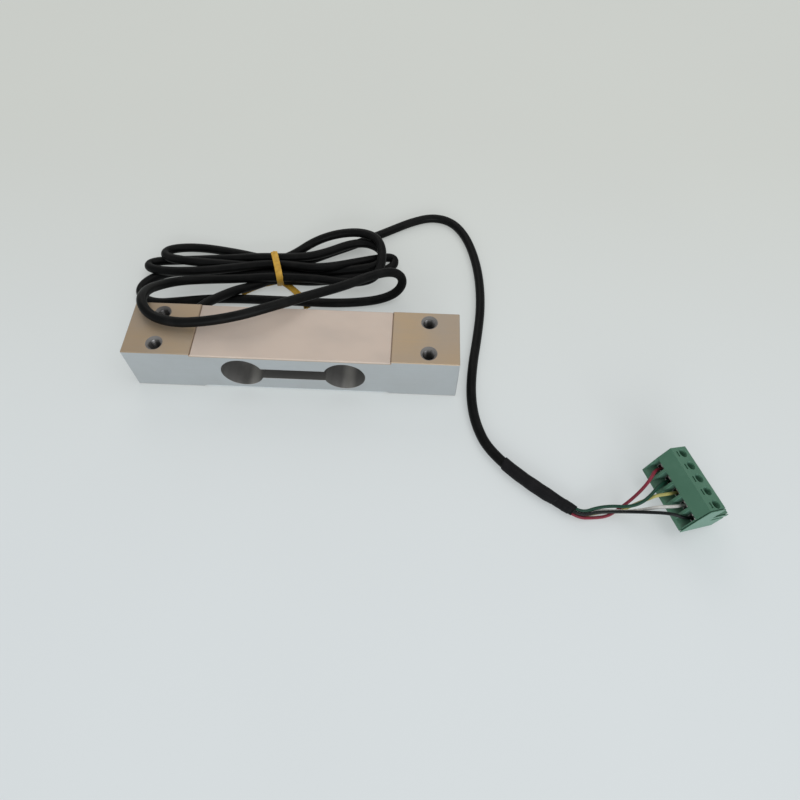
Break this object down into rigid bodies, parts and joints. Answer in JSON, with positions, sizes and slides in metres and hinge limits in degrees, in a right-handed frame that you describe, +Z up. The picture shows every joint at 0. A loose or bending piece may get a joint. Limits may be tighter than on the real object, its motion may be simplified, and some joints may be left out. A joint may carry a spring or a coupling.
{
  "type": "single point load cell",
  "caption": "Aluminium single point load cell with threaded mounting holes, a coiled black signal cable and a green pluggable screw terminal on its cores.",
  "frame": {"origin": "centre of the beam's underside", "axes": "+X along the beam towards its load end, +Y towards the face the cable leaves, +Z up"},
  "size_m": [0.2403, 0.1602, 0.0288],
  "materials": {
    "beam_aluminium": "satin",
    "gauge_foil": "satin",
    "board_laminate": "satin",
    "resistor_black": "matte",
    "fine_wire": "satin",
    "core_red": "satin",
    "core_white": "satin",
    "core_black": "satin",
    "core_green": "satin",
    "core_yellow": "satin",
    "silicone_white": "satin",
    "seal_rubber": "matte",
    "cable_jacket": "satin",
    "tie_yellow": "satin",
    "sleeve_black": "matte",
    "plug_green": "satin",
    "cage_steel": "satin",
    "contact_tin": "satin",
    "screw_steel": "satin"
  },
  "bodies": {
    "root": {"beam": "beam_aluminium", "top_seal": "silicone_white", "bottom_seal": "silicone_white", "gauge_top_left": "gauge_foil", "gauge_top_right": "gauge_foil", "gauge_bottom_left": "gauge_foil", "gauge_bottom_right": "gauge_foil", "bridge_board": "board_laminate", "trim_resistor_1": "resistor_black", "trim_resistor_2": "resistor_black", "trim_resistor_3": "resistor_black", "jumper_left_1": "fine_wire", "jumper_left_2": "fine_wire", "jumper_right_1": "fine_wire", "jumper_right_2": "fine_wire", "lead_bottom_1": "fine_wire", "lead_bottom_2": "fine_wire", "lead_bottom_3": "fine_wire", "lead_bottom_4": "fine_wire", "lead_red": "core_red", "wire_red": "core_red", "lead_white": "core_white", "wire_white": "core_white", "lead_black": "core_black", "wire_black": "core_black", "lead_green": "core_green", "wire_green": "core_green", "lead_yellow": "core_yellow", "wire_yellow": "core_yellow", "cable_seal": "seal_rubber", "cable_lead_in": "cable_jacket", "cable_loose_loop": "cable_jacket", "cable_lead_out": "cable_jacket", "cable_hank": "cable_jacket", "twist_tie": "tie_yellow", "shrink_sleeve_1": "sleeve_black", "shrink_sleeve_2": "sleeve_black", "terminal_housing": "plug_green", "terminal_end_plate": "plug_green", "wire_cage_1": "cage_steel", "wire_cage_2": "cage_steel", "wire_cage_3": "cage_steel", "wire_cage_4": "cage_steel", "wire_cage_5": "cage_steel", "contact_1": "contact_tin", "contact_2": "contact_tin", "contact_3": "contact_tin", "contact_4": "contact_tin", "contact_5": "contact_tin", "clamp_screw_1": "screw_steel", "clamp_screw_2": "screw_steel", "clamp_screw_3": "screw_steel", "clamp_screw_4": "screw_steel", "clamp_screw_5": "screw_steel"}
  },
  "joints": []
}
